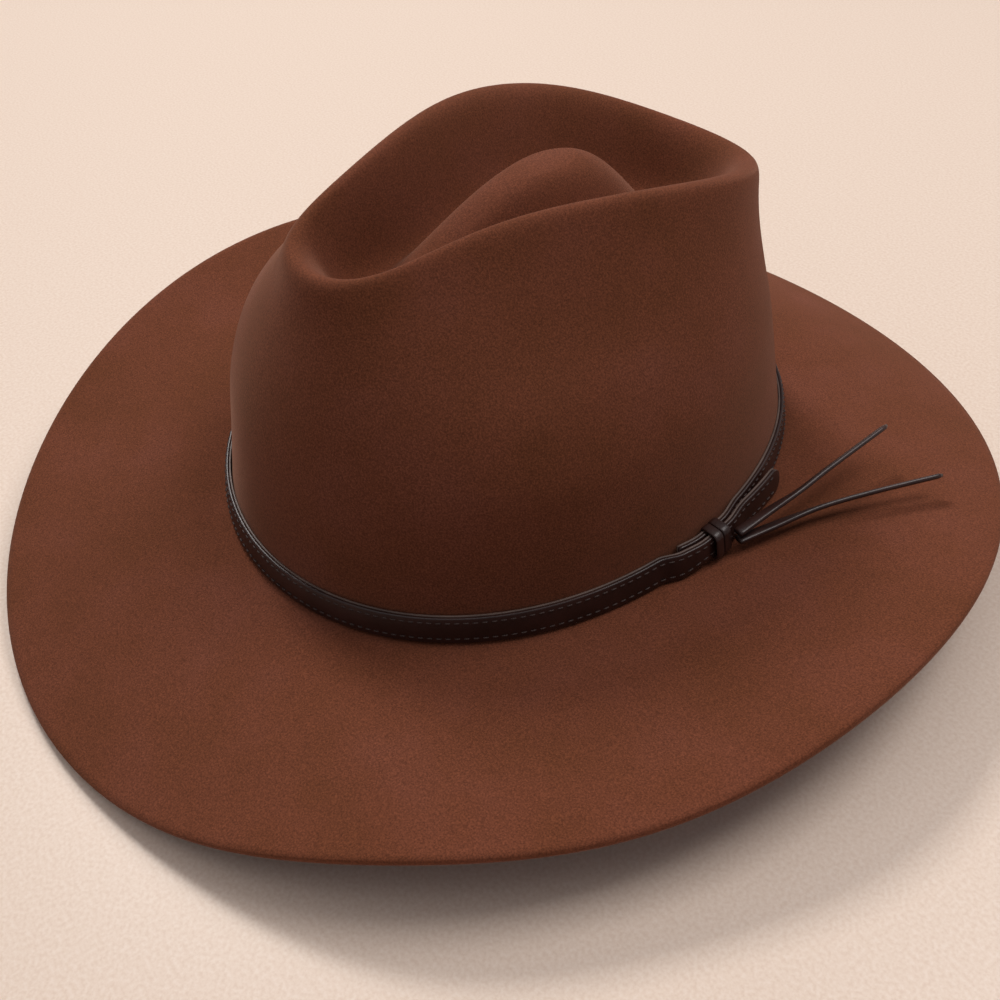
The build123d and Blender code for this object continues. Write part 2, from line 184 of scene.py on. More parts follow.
def leather(name, dark, light, roughness, pore=PORE_SIZE):
    hide = new_material(name)
    where = position_in_piece(hide)
    cells = add(hide, "TexVoronoi", {"Vector": (where, "Object")},
                Scale=1 / pore, feature="DISTANCE_TO_EDGE")
    cloud = add(hide, "TexNoise", {"Vector": (where, "Object")}, Scale=1 / (12 * MM), Detail=4.0)
    colour = ramp(hide, cloud, "Fac", [(0.3, dark), (0.7, light)])
    grain = add(hide, "Bump", {"Height": (cells, "Distance")}, Strength=0.25, Distance=0.15 * MM)
    return finish_material(hide, colour, grain, Roughness=roughness)


def woven(name, dark, light, pitch, roughness, sheen=0.2):
    """Cloth or thread: fine diagonal bands at the pitch of the yarns."""
    cloth = new_material(name)
    where = position_in_piece(cloth)
    yarns = add(cloth, "TexWave", {"Vector": (where, "Object")}, Scale=1 / (pitch * 6.28),
                bands_direction="DIAGONAL", Distortion=1.5, Detail=2.0)
    colour = ramp(cloth, yarns, "Fac", [(0.2, dark), (0.8, light)])
    ribs = add(cloth, "Bump", {"Height": (yarns, "Fac")}, Strength=0.4, Distance=0.1 * MM)
    return finish_material(cloth, colour, ribs, Roughness=roughness, Sheen_Weight=sheen)


MATERIALS = {
    "felt": brushed_fur_felt(),
    "strap_leather": leather("waxed_strap_leather", "#24120F", "#351D18", 0.38),
    # Painted highlight: the lining ply is coloured paler, so its cut edges along the strap's top and foot
    # show a painted highlight.
    "strap_edge_highlight": leather("cut_edge_painted_highlight", "#4A3A34", "#6A564D", 0.5),
    "sweat_leather": leather("roan_sweatband_leather", "#7A4B2C", "#8E5C38", 0.5, 0.8 * MM),
    "satin": woven("woven_satin", "#A58C68", "#B79E78", 0.35 * MM, 0.32, 0.5),
    "tape": woven("cotton_welt_tape", "#2A1E1A", "#3A2A24", 0.5 * MM, 0.85),
    "thread": woven("waxed_polyester_thread", "#2A1814", "#3A241D", 0.25 * MM, 0.6, 0.0),
    "ribbon": woven("grosgrain_ribbon", "#1C1210", "#30201C", 0.8 * MM, 0.6),
    "label": woven("woven_label", "#D9D0BC", "#E8E0CE", 0.4 * MM, 0.8),
    "reed": leather("moulded_polythene_reed", "#C9C4B6", "#D4CFC2", 0.4),
}
print("materials", sorted(MATERIALS))

# %% [markdown]
# A sheet or a strap is a grid of points: rows run round the hat, columns run across the piece.
# The helper turns such a grid into a smooth mesh, joins its ends where it closes, and caps it
# where it does not.

# %% Helpers for meshes


def grid_faces(rows, columns, closed=True, first=0):
    """Faces of a grid whose columns close on themselves, and whose rows may too."""
    faces = []
    for i in range(rows if closed else rows - 1):
        for j in range(columns):
            k = (i + 1) % rows
            m = (j + 1) % columns
            corners = (i * columns + j, i * columns + m, k * columns + m, k * columns + j)
            faces.append(tuple(first + corner for corner in corners))
    return faces


def grid_piece(name, points, material, body, node, round_hat=True):
    """A closed skin from a grid of points in millimetres; its ends are capped if they don't meet."""
    rows, columns, _ = points.shape
    faces = grid_faces(rows, columns, round_hat)
    if not round_hat:
        faces.append(tuple(range(columns))[::-1])
        faces.append(tuple(range((rows - 1) * columns, rows * columns)))
    return mesh_piece(name, points.reshape(-1, 3), faces, material, body, node)


def loops_piece(name, grids, material, body, node):
    """One piece from several closed loops, each a grid of points."""
    points, faces = [], []
    for grid in grids:
        rows, columns, _ = grid.shape
        faces += grid_faces(rows, columns, first=len(points))
        points += list(grid.reshape(-1, 3))
    return mesh_piece(name, points, faces, material, body, node)


def mesh_piece(name, points, faces, material, body, node):
    """A smooth mesh with its material, riding its body in the place of its construction piece."""
    mesh = bpy.data.meshes.new(name)
    mesh.from_pydata([tuple(c * MM for c in p) for p in points], [], faces)
    mesh.polygons.foreach_set("use_smooth", [True] * len(mesh.polygons))
    mesh.materials.append(MATERIALS[material])
    piece = bpy.data.objects.new(name, mesh)
    bpy.context.scene.collection.objects.link(piece)
    make_normals_outward(mesh)
    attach(piece, body)
    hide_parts(node)
    return piece


def make_normals_outward(mesh):
    """Turns every face so that it looks out of its closed skin."""
    work = bmesh.new()
    work.from_mesh(mesh)
    bmesh.ops.recalc_face_normals(work, faces=work.faces)
    work.to_mesh(mesh)
    work.free()


print("a closed grid of 4 by 3 points has", len(grid_faces(4, 3)), "faces")

# %% [markdown]
# The felt is one skin, pulled over a block and creased by hand. These are its driving sizes in
# millimetres, the same as the construction's.

# %% Sizes of the felt
FELT = 2.5
CROWN_SET_BACK = 6.5
BASE_HALF_LENGTH = 104.2
BASE_HALF_WIDTH = 89.3
BASE_EGG = 0.1
BASE_HEIGHT = 22.1
BASE_SADDLE = 3.2
WALL_LEAN = 0.17
BRIM_HALF_LENGTH = 179.2
BRIM_HALF_WIDTH = 165.9
BRIM_SIDE_CURL = 16.2
BRIM_FRONT_LIFT = 0.5
BRIM_DISH = 2.0
BRIM_WAVE_RISE = 10.6
BRIM_WAVE_FALL = 7.1
BRIM_WAVE_ANGLES = (45.4, 65.7)
BRIM_WAVE_SPREAD = 22
CREST_HALF_WIDTH = 48.5
CREST_REACH = 84.15
CREST_SET_BACK = 9.25
CREST_HEIGHT = 98.5
CREST_SIDE_RISE = 8.9
CREST_FRONT_RISE = 6.3
CREST_ROLL = 7
CREST_DENT = 3.5
CREST_DENT_ANGLE = 68
CREST_DENT_SPREAD = 26
CREASE_DEPTH = 27
MOUND_HALF_WIDTH = 6
MOUND_HALF_LENGTH = 12
MOUND_SET_BACK = 15
MOUND_HEIGHT = 122
print("brim", 2 * BRIM_HALF_LENGTH, "mm long and", 2 * BRIM_HALF_WIDTH, "mm wide")

# %% [markdown]
# Three outlines run round the hat: the oval where brim meets crown, the brim's cut edge, and the
# rolled crest round the crease. Each is a formula of the angle from the front, and works on a
# whole array of angles at once.

# %% Outlines of the felt


def wall_point(deg, outset, height):
    """A point beside the crown wall: outset from the felt, height above the brim break."""
    a = np.radians(deg)
    nx = np.sin(a) / BASE_HALF_WIDTH
    ny = -np.cos(a) / BASE_HALF_LENGTH
    size = np.hypot(nx, ny)
    out = outset - WALL_LEAN * height
    x = BASE_HALF_WIDTH * np.sin(a) * (1 + BASE_EGG * np.cos(a)) + nx / size * out
    y = CROWN_SET_BACK - BASE_HALF_LENGTH * np.cos(a) + ny / size * out
    return np.stack([x, y, BASE_HEIGHT - BASE_SADDLE * np.cos(2 * a) + height + 0 * x], -1)


def bump_at(deg, middle, spread):
    """A smooth hump round one angle: 1 at its middle, and almost 0 two spreads away."""
    near = (deg + 180) % 360 - 180
    return np.exp(-(((near - middle) / spread) ** 2))


def brim_edge(deg):
    """The brim's cut edge: it rises at the sides and has a wave on the wearer's left."""
    a = np.radians(deg)
    rise, fall = (bump_at(deg, middle, BRIM_WAVE_SPREAD) for middle in BRIM_WAVE_ANGLES)
    z = FELT + BRIM_SIDE_CURL * (1 - np.cos(2 * a)) - (1 - np.cos(4 * a))
    z = z + BRIM_FRONT_LIFT * (1 + np.cos(a)) + BRIM_WAVE_RISE * rise - BRIM_WAVE_FALL * fall
    return np.stack([BRIM_HALF_WIDTH * np.sin(a), -BRIM_HALF_LENGTH * np.cos(a), z], -1)


def crest(deg):
    """The rolled rim round the crease: narrow in front, widest in the back third."""
    a = np.radians(deg)
    teardrop = 0.926 * np.sin(a) - 0.208 * np.sin(2 * a) + 0.077 * np.sin(3 * a) + 0.041 * np.sin(4 * a)
    lengthwise = 0.981 * np.cos(a) + 0.019 * np.cos(3 * a)
    y = CROWN_SET_BACK + CREST_SET_BACK - CREST_REACH * lengthwise + 6.6 * (np.cos(2 * a) - 1)
    z = BASE_HEIGHT + CREST_HEIGHT + CREST_FRONT_RISE * np.cos(a) ** 3 - CREST_SIDE_RISE * np.cos(2 * a)
    return np.stack([CREST_HALF_WIDTH * teardrop, y, z], -1)


for side_name, angle in (("front", 0.0), ("left", 90.0), ("back", 180.0)):
    print(side_name, "crest at height", round(float(crest(np.array([angle]))[0, 2]), 1), "mm")

# %% [markdown]
# Between the outlines, more control points shape the skin: the brim's dish, the bend at its
# break, the crown wall with its dent, and the crease that falls inside the crest and climbs to
# the raised middle, the mound. A B-spline passes close to them all, which keeps it smooth.

# %% Skin of the felt


def lift(points, height):
    """The same points at another height."""
    moved = points.copy()
    moved[..., 2] = height
    return moved


def felt_controls(deg):
    """Control points of the felt's top skin, in order from the brim's edge to the mound's top."""
    a = np.radians(deg)
    edge, near, rim = brim_edge(deg), wall_point(deg, 16, 0.2), crest(deg)
    dish = BRIM_DISH * np.cos(2 * a)
    controls = [edge]
    for share in (0.2, 0.5, 0.8):
        point = edge + (near - edge) * share
        controls.append(lift(point, point[..., 2] + dish * sin(pi * share)))
    controls += [near, wall_point(deg, 8, 0), wall_point(deg, 3, -0.3), wall_point(deg, -0.4, -0.6)]
    controls += [wall_point(deg, 0, h) for h in (3.5, 12, 26, 40, 48)]
    tall = rim[..., 2] - wall_point(deg, 0, 0)[..., 2]
    dent = CREST_DENT * bump_at(deg, CREST_DENT_ANGLE, CREST_DENT_SPREAD)
    for share, pull, sink in ((0.61, 0.1, 0.35), (0.71, 0.25, 0.85), (0.82, 0.5, 1), (0.93, 0.83, 0.15)):
        point = wall_point(deg, -sink * dent, tall * share)
        controls.append(lift(point + (rim - point) * pull, point[..., 2]))
    centre = CROWN_SET_BACK + MOUND_SET_BACK
    middle = np.stack([0 * a, centre - 3 * MOUND_HALF_LENGTH * np.cos(a), rim[..., 2]], -1)
    inner = rim + (middle - rim) * (0.42 - 0.1 * np.cos(a))[:, None]
    top = np.stack([MOUND_HALF_WIDTH * np.sin(a), centre - MOUND_HALF_LENGTH * np.cos(a),
                    MOUND_HEIGHT + 0 * a], -1)
    floor = rim[..., 2] - CREASE_DEPTH + 6 * np.abs(np.cos(a)) ** 3
    inward = rim + (inner - rim) * 0.3
    controls.append(lift(rim, rim[..., 2] + 0.28 * CREST_ROLL))
    controls.append(lift(inward, rim[..., 2] + 0.2 * CREST_ROLL))
    for share, drop in ((0.62, 0.36), (0.88, 0.8)):
        point = rim + (inner - rim) * share
        controls.append(lift(point, rim[..., 2] + (floor - rim[..., 2]) * drop))
    low = lift(inner, floor)
    controls.append(low + (lift(top, floor) - low) * 0.16)
    for share, climb in ((0.4, 0.36), (0.66, 0.74), (0.86, 0.94)):
        point = low + (top - low) * share
        controls.append(lift(point, floor + (top[..., 2] - floor) * climb))
    return controls + [top]


def felt_rows(deg, levels):
    """The top skin: a uniform cubic B-spline through the controls, one column for each level."""
    controls = felt_controls(deg)
    controls = [2 * controls[0] - controls[1]] + controls + [2 * controls[-1] - controls[-2]]
    columns = []
    for level_at in levels:
        span = min(int(level_at), len(controls) - 4)
        t = level_at - span
        weights = ((1 - t) ** 3, 3 * t ** 3 - 6 * t * t + 4, -3 * t ** 3 + 3 * t * t + 3 * t + 1, t ** 3)
        columns.append(sum(w * controls[span + k] for k, w in enumerate(weights)) / 6)
    return np.stack(columns, 1)


print("felt controls", len(felt_controls(np.array([0.0]))))

# %% [markdown]
# The felt gets its thickness the way a real sheet has it: each point is copied inward along the
# skin's own normal. Fingers have pinched the crown under the crest, which leaves a shallow dent
# on each side, and the outside wanders by a few soft waves of under half a millimetre.

# %% Felt body
FELT_COLUMNS = 150
TURN = np.arange(0, 360, 0.75)
UNEVENNESS = 0.18
PINCH_DEPTH = 2.2
PINCH_ANGLE = 75
PINCH_SPREAD = 26
PINCH_LEVEL = 14.6


def skin_normals(points):
    around = np.roll(points, -1, 0) - np.roll(points, 1, 0)
    across = np.gradient(points, axis=1)
    normal = np.cross(around, across)
    return normal / np.linalg.norm(normal, axis=-1, keepdims=True)


def hand_unevenness(points):
    x, y, z = points[..., 0], points[..., 1], points[..., 2]
    waves = np.sin(x / 21 + 1.3) * np.sin(y / 17) + 0.7 * np.sin(x / 11 + y / 13 + z / 19)
    return UNEVENNESS * waves


def finger_dents(deg, levels):
    """Where fingers pinched the crown under the crest, on both sides."""
    side = sum(bump_at(deg, middle, PINCH_SPREAD) for middle in (PINCH_ANGLE, -PINCH_ANGLE))
    high = np.exp(-(((levels - PINCH_LEVEL) / 1.2) ** 2))
    return -PINCH_DEPTH * side[:, None] * high[None, :]


def felt_piece():
    """Inner skin, rounded cut edge and outer skin, joined into one closed mesh."""
    top_level = len(felt_controls(np.array([0.0]))) - 1
    levels = np.linspace(0, top_level, FELT_COLUMNS)
    skin = felt_rows(TURN, levels)
    outward = -skin_normals(skin)
    outward *= np.sign(outward[0, 5, 2])
    fade = np.clip(levels / 2, 0, 1)[None, :]
    skin = skin + outward * finger_dents(TURN, levels)[..., None]
    outer = skin + outward * (hand_unevenness(skin) * fade)[..., None]
    inner = skin - outward * FELT
    # The raw cut edge is slightly rounded: three extra columns stand a little proud of it.
    rounded = [outer[:, 0] * (1 - k) + inner[:, 0] * k for k in (0.25, 0.5, 0.75)]
    proud = outer[:, 0] - outer[:, 1]
    proud /= np.linalg.norm(proud, axis=-1, keepdims=True)
    edge = [spot + proud * bulge for spot, bulge in zip(rounded, (0.3, 0.4, 0.3))]
    columns = np.concatenate([inner[:, ::-1], np.stack(edge[::-1], 1), outer], 1)
    rows, width, _ = columns.shape
    points = columns.reshape(-1, 3)
    faces = []
    for i in range(rows):
        k = (i + 1) % rows
        for j in range(width - 1):
            faces.append((i * width + j, i * width + j + 1, k * width + j + 1, k * width + j))
    faces.append(tuple(i * width for i in range(rows)))
    faces.append(tuple(i * width + width - 1 for i in reversed(range(rows))))
    return mesh_piece("felt_hat_body", points, faces, "felt", "hat", "felt_body")


felt = felt_piece()
print("felt points", len(felt.data.vertices))

# %% [markdown]
# The hatband is one strap of two plies. It goes once round the crown and its end, the tongue,
# lies over its start, where loops of thong squeeze both together. So its outset from the felt
# follows the angle: it climbs at the knot, and the tongue's tip stands off a little.

# %% Hatband sizes
STRAP_WIDTH = 9
STRAP_FOOT = 0.6
STRAP_FACE = 1.0
STRAP_LINING = 0.7
PLY_GAP = 0.1
SOFT_GAP = 0.3
THREAD = 0.3
PLY = STRAP_LINING + PLY_GAP + STRAP_FACE
THREAD_ROOM = 2 * THREAD + 2 * PLY_GAP
KNOT_ANGLE = 94.5
KNOT_SQUEEZE = 1.8
TONGUE_LENGTH = 36
TONGUE_STAND_OFF = 2.2
WRAP = 1.1
WRAP_WIDTH = 3.2
DEGREES_PER_MM = 360 / (pi * (BASE_HALF_LENGTH + BASE_HALF_WIDTH))
WRAP_REACH = WRAP_WIDTH + PLY_GAP
STRAP_START = KNOT_ANGLE - (WRAP_REACH + 10) * DEGREES_PER_MM
STRAP_END = 360 + KNOT_ANGLE + TONGUE_LENGTH * DEGREES_PER_MM


def ease(t):
    """A smooth step from 0 to 1."""
    t = np.clip(t, 0, 1)
    return t * t * (3 - 2 * t)


print("strap", round((STRAP_END - STRAP_START) / DEGREES_PER_MM), "mm long")

# %% [markdown]
# Small functions follow the strap round: whether it is near the knot, how far it stands off
# the felt, and the outline of one ply. They are evaluated every half degree.

# %% Path of the strap


def near_knot(deg):
    """1 under the knot, falling to 0 a little beyond it."""
    away = np.abs((deg - KNOT_ANGLE + 180) % 360 - 180) / DEGREES_PER_MM
    return ease((WRAP_REACH + 12 - away) / 10)


def strap_inner(deg):
    """How far the strap's inner face stands off the felt."""
    over = ease((deg - 360 - STRAP_START) / (8 * DEGREES_PER_MM) + 1)
    loose = ease((deg - 360 - KNOT_ANGLE) / (TONGUE_LENGTH * DEGREES_PER_MM) - 0.2)
    room = (WRAP + 2 * PLY_GAP) * near_knot(deg)
    return SOFT_GAP + room + (PLY + THREAD_ROOM) * over + TONGUE_STAND_OFF * loose


def rounded_section(inner, outer, foot, top, radius, steps=3):
    """The outline of a strap with softened corners, as (outset, height) pairs."""
    outline = []
    for cx, cy, first in ((outer - radius, top - radius, 0), (inner + radius, top - radius, 90),
                          (inner + radius, foot + radius, 180), (outer - radius, foot + radius, 270)):
        for k in range(steps + 1):
            t = radians(first + 90 * k / steps)
            outline.append((cx + radius * cos(t), cy + radius * sin(t)))
    return outline


def ply_grid(near, far, radius):
    """One ply of the strap, with its tongue rounded off at the tip."""
    degrees = np.arange(STRAP_START, STRAP_END, 0.5)
    to_tip = (STRAP_END - degrees) / DEGREES_PER_MM
    half = STRAP_WIDTH / 2
    narrow = np.where(to_tip < half, half - np.sqrt(np.clip(half ** 2 - (half - to_tip) ** 2, 0, None)), 0)
    narrow = np.minimum(narrow, half - 0.6)
    rows = []
    for deg, pinch in zip(degrees, narrow):
        inner = float(strap_inner(deg))
        foot = STRAP_FOOT + KNOT_SQUEEZE * float(near_knot(deg)) + pinch
        top = STRAP_FOOT + STRAP_WIDTH - pinch
        section = rounded_section(inner + near, inner + far, foot, top, min(radius, (top - foot) / 3))
        rows.append([wall_point(deg, out, height) for out, height in section])
    return np.array(rows)


print("at the knot the strap's inner face stands off", round(float(strap_inner(KNOT_ANGLE)), 2), "mm")

# %% Hatband strap and lining
grid_piece("hatband_strap_face", ply_grid(STRAP_LINING + PLY_GAP, PLY, 0.35), "strap_leather",
           "hatband", "hatband_strap", round_hat=False)
# The lining's paler colour is a painted highlight along the strap's top and foot edges.
grid_piece("hatband_strap_lining", ply_grid(0, STRAP_LINING, 0.2), "strap_edge_highlight",
           "hatband", "hatband_lining", round_hat=False)
print("strap turns", round((STRAP_END - STRAP_START) / 360, 3), "times round the crown")

# %% [markdown]
# Each row of stitching is a thread that dips through the leather. From outside one sees short
# slanted beads with gaps between them, so each stitch is a small capsule whose ends sink in.

# %% Stitches
STITCH_PITCH = 2.8
STITCH_INSET = 1.6
STITCH_RINGS = 6
STITCH_SIDES = 6


def stitch_row(name, route, material, body, node, radius=THREAD, share=0.72):
    """Capsules along a route of points in millimetres; they lie in its surface's normal."""
    points, faces = [], []
    for start, stop, normal in route:
        run = stop - start
        length = np.linalg.norm(run)
        run = run / length
        across = np.cross(run, normal)
        middle = (start + stop) / 2
        base = len(points)
        for k in range(STITCH_RINGS + 1):
            s = k / STITCH_RINGS * 2 - 1
            thick = radius * max(1 - s ** 4, 0.08) ** 0.5
            centre = middle + run * (s * length * share / 2) - normal * radius * 0.9 * s ** 4
            for m in range(STITCH_SIDES):
                t = 2 * pi * m / STITCH_SIDES
                points.append(centre + normal * thick * cos(t) + across * thick * sin(t))
        for k in range(STITCH_RINGS):
            for m in range(STITCH_SIDES):
                n = (m + 1) % STITCH_SIDES
                a = base + k * STITCH_SIDES
                b = a + STITCH_SIDES
                faces.append((a + m, a + n, b + n, b + m))
        faces.append(tuple(base + m for m in reversed(range(STITCH_SIDES))))
        faces.append(tuple(base + STITCH_RINGS * STITCH_SIDES + m for m in range(STITCH_SIDES)))
    return mesh_piece(name, points, faces, material, body, node)


def wall_route(start, stop, pitch, outset_at, height_at, facing=1):
    """Stitch ends along the wall, from one angle to another."""
    step = pitch * DEGREES_PER_MM
    route = []
    for k in range(int((stop - start) / step)):
        ends = [start + step * (k + e) for e in (0, 1)]
        first, last = (wall_point(d, float(outset_at(d)), float(height_at(d))) for d in ends)
        a = radians(sum(ends) / 2)
        normal = np.array([sin(a) / BASE_HALF_WIDTH, -cos(a) / BASE_HALF_LENGTH, 0.0])
        route.append((first, last, facing * normal / np.linalg.norm(normal)))
    return route


def strap_stitches(name, node, height_at):
    """One row of stitches along the strap, stopping just short of its ends."""
    margin = 3 * DEGREES_PER_MM
    route = wall_route(STRAP_START + margin, STRAP_END - margin, STITCH_PITCH,
                       lambda d: strap_inner(d) + PLY + 0.1, height_at)
    return stitch_row(name, route, "thread", "hatband", node)


top_row = strap_stitches("hatband_top_stitches", "hatband_upper_stitching",
                         lambda d: STRAP_FOOT + STRAP_WIDTH - STITCH_INSET)
strap_stitches("hatband_foot_stitches", "hatband_lower_stitching",
               lambda d: STRAP_FOOT + KNOT_SQUEEZE * near_knot(d) + STITCH_INSET)
print("stitches in a row", len(top_row.data.polygons) // (STITCH_RINGS * STITCH_SIDES + 2))

# %% [markdown]
# The knot is two loops of flat thong pulled tight round the strap. Raising a sine or cosine to a
# power below 1 squares off a circle, which gives the thong its flat faces and soft corners.

# %% Knot wrap


def squarish(value, power):
    """A sine or cosine pushed towards 1 or -1; a smaller power is more square."""
    return np.sign(value) * abs(value) ** power


def loop_grid(along):
    """One loop of thong, as a grid round the strap: it bows outward over the tongue."""
    inner = float(strap_inner(KNOT_ANGLE)) - 2 * PLY_GAP
    outer = float(strap_inner(360 + KNOT_ANGLE)) + PLY + THREAD_ROOM
    foot = STRAP_FOOT + KNOT_SQUEEZE - PLY_GAP
    top = STRAP_FOOT + STRAP_WIDTH + PLY_GAP
    path = rounded_section(inner - WRAP / 2, outer + WRAP / 2, foot - WRAP / 2, top + WRAP / 2, 1.6, 6)
    rows = []
    centre = np.array([(inner + outer) / 2, (foot + top) / 2])
    for out, height in path:
        ahead = np.array([out, height]) - centre
        bow = 0.35 * max(0.0, 1 - abs(height - centre[1]) / 6) * (out > centre[0])
        away = ahead / np.linalg.norm(ahead)
        row = []
        for t in np.arange(0, 360, 30):
            flat = squarish(cos(radians(t)), 0.5)
            thick = squarish(sin(radians(t)), 0.7)
            reach = WRAP / 2 * 0.96 * thick
            spot = np.array([out + bow, height]) + away * reach
            turn_mm = along + flat * WRAP_WIDTH / 2 * 0.97
            row.append(wall_point(KNOT_ANGLE + turn_mm * DEGREES_PER_MM, spot[0], spot[1]))
        rows.append(row)
    return np.array(rows)


knot = loops_piece("knot_thong_loops", [loop_grid(side * WRAP_REACH / 2) for side in (-1, 1)],
                   "strap_leather", "hatband", "knot_wrap")
print("knot points", len(knot.data.vertices))

# %% [markdown]
# The thong's two ends are left long. Each leaves the knot level, then turns on edge as it spreads.
# A route step says how far it has gone outward, back and up, and by how many degrees it has turned.

# %% Tails
TAIL_WIDTH = 3.8
TAIL_THICKNESS = 1.8
TAIL_ROOT_HEIGHTS = {"tail_upper": 7.6, "tail_lower": 4.6}
TAIL_ROUTES = {
    "tail_upper": [(0, 14, 1.0, 20), (0.2, 28, 1.8, 45), (-0.6, 42, 2.6, 50), (-2.2, 73, 3.6, 50)],
    "tail_lower": [(2.4, 12, 0.2, 15), (6.2, 30, 0.4, 45), (12.4, 49, 0.4, 50), (21.6, 73, 0.4, 50)],
}


def tail_root(name):
    """Where a tail leaves the knot, just behind the wrap and clear of the tongue."""
    along = WRAP_REACH + SOFT_GAP + TAIL_WIDTH / 3
    at = 360 + KNOT_ANGLE + along * DEGREES_PER_MM
    outset = float(strap_inner(at)) + PLY + THREAD_ROOM + SOFT_GAP + TAIL_WIDTH / 2
    return wall_point(KNOT_ANGLE + along * DEGREES_PER_MM, outset, TAIL_ROOT_HEIGHTS[name])


def smooth_route(route, steps):
    """Catmull-Rom through the route's steps, so that the thong bends without corners."""
    marks = np.array([(0, 0, 0, 0)] + route, float)
    marks = np.concatenate([[2 * marks[0] - marks[1]], marks, [2 * marks[-1] - marks[-2]]])
    path = []
    for k in range(1, len(marks) - 2):
        p, q, r, s = marks[k - 1:k + 3]
        slope, bend, twist = r - p, 2 * p - 5 * q + 4 * r - s, 3 * q - p - 3 * r + s
        for t in np.linspace(0, 1, steps, endpoint=False):
            path.append(0.5 * (2 * q + slope * t + bend * t * t + twist * t ** 3))
    return np.array(path + [marks[-2]])


def tail_piece(name):
    """A flat thong swept along its route, narrowed to a rounded tip."""
    path = smooth_route(TAIL_ROUTES[name], 14)
    spots = tail_root(name) + path[:, :3]
    runs = np.gradient(spots, axis=0)
    lengths = np.concatenate([[0], np.cumsum(np.linalg.norm(np.diff(spots, axis=0), axis=1))])
    rows = []
    for spot, run, tilt, done in zip(spots, runs, path[:, 3], lengths):
        run = run / np.linalg.norm(run)
        flat = np.array([run[1], -run[0], 0])
        flat = flat / np.linalg.norm(flat)
        above = np.cross(flat, run)
        side = flat * cos(radians(tilt)) + above * sin(radians(tilt))
        face = np.cross(side, run)
        left = lengths[-1] - done
        half = TAIL_WIDTH / 2 * 0.95
        end = min(1.0, max(0.12, (1 - max(0, 1 - left / half) ** 2) ** 0.5))
        row = []
        for t in np.arange(0, 360, 22.5):
            u = squarish(cos(radians(t)), 0.6)
            v = squarish(sin(radians(t)), 0.6)
            row.append(spot + side * u * half * end + face * v * TAIL_THICKNESS / 2 * 0.95 * max(end, 0.5))
        rows.append(row)
    print(name, "is", round(lengths[-1]), "mm long")
    return grid_piece("thong_" + name, np.array(rows), "strap_leather", name, name,
                      round_hat=False)


for tail in TAIL_ROUTES:
    tail_piece(tail)

# %% [markdown]
# Inside, the sweatband is a strip of thin leather, butted and sewn at the back. Its foot is sewn
# to a tape that is folded round a plastic reed, and that tape is sewn into the hat.

# %% Sizes inside the crown
LINER = 0.4
LINER_TUCK = 14
LINER_SHOULDER_RISE = 8
LINER_SHOULDER_LEAN = 3.5
TIP_SHARE = 0.74
PIPING_RADIUS = 0.8
SWEATBAND = 1.0
SWEATBAND_HEIGHT = 42
WELT_TAPE = 0.4
WELT_FLANGE = 7
REED_RADIUS = 1.0
REED_HEIGHT = 0.5
LINER_OUT = -(FELT + SOFT_GAP)
LINER_IN = LINER_OUT - LINER
SWEATBAND_OUT = LINER_IN - SOFT_GAP
SWEATBAND_IN = SWEATBAND_OUT - SWEATBAND
TAPE_RADIUS = REED_RADIUS + PLY_GAP + WELT_TAPE
REED_OUTSET = LINER_OUT - TAPE_RADIUS
SWEATBAND_FOOT = REED_HEIGHT + TAPE_RADIUS + PLY_GAP
INSIDE_TURN = np.arange(0, 360, 1.0)
FOOT_STITCH_PITCH = 3.2


print("sweatband from", SWEATBAND_FOOT, "to", SWEATBAND_HEIGHT, "mm above the brim break")


def wall_ring(name, section, material, node, ripple=None):
    """A closed ring against the wall: each (outset, height) of the section goes all the way round."""
    columns = []
    for out, height in section:
        extra = ripple(INSIDE_TURN, height) if ripple else 0
        columns.append(wall_point(INSIDE_TURN, out + extra, height))
    return grid_piece(name, np.stack(columns, 1), material, "hat", node)


def sweatband_ripple(deg, height):
    """Leather that has been worn a little stands in very soft waves, more at its free top."""
    a = np.radians(deg)
    return 0.12 * (height / SWEATBAND_HEIGHT) * (np.sin(9 * a + 0.6) + 0.6 * np.sin(16 * a))


# %% Sweatband, reed and tape
band_section = rounded_section(SWEATBAND_IN, SWEATBAND_OUT, SWEATBAND_FOOT, SWEATBAND_HEIGHT, 0.4)
heights = np.linspace(SWEATBAND_HEIGHT - 1, SWEATBAND_FOOT + 1, 14)
band_section = (band_section[4:8] + [(SWEATBAND_IN, float(h)) for h in heights] + band_section[8:]
                + [(SWEATBAND_OUT, float(h)) for h in heights[::-1]] + band_section[:4])
wall_ring("roan_sweatband", band_section, "sweat_leather", "sweatband", sweatband_ripple)

def round_section(radius, angles):
    """Points of a circle round the reed's middle, as (outset, height) pairs."""
    return [(REED_OUTSET + radius * cos(t), REED_HEIGHT + radius * sin(t)) for t in angles]


whole_circle = [radians(t) for t in range(0, 360, 30)]
wall_ring("sweatband_plastic_reed", round_section(REED_RADIUS, whole_circle),
          "reed", "sweatband_reed")
around = [radians(t) for t in range(45, -256, -20)]
flange_in = SWEATBAND_OUT + PLY_GAP
flange_top = SWEATBAND_FOOT + WELT_FLANGE
tape_section = [(flange_in, flange_top), (flange_in + WELT_TAPE, flange_top)]
tape_section += round_section(TAPE_RADIUS, around) + round_section(REED_RADIUS + PLY_GAP, around[::-1])
tape_section.append((flange_in, SWEATBAND_FOOT - PLY_GAP))
wall_ring("folded_welt_tape", tape_section, "tape", "welt_tape")
foot_route = wall_route(0, 360, FOOT_STITCH_PITCH,
                        lambda d: SWEATBAND_IN - 0.1, lambda d: SWEATBAND_FOOT + 2, -1)
stitch_row("sweatband_foot_stitches", foot_route, "thread", "hat", "welt_stitching")
print("foot stitches", len(foot_route))

# %% [markdown]
# The sweatband's butted ends are closed by a zigzag of thread, and a small ribbon bow marks the
# back of the hat. Beside it sits a plain woven size label.

# %% Back seam, bow and label


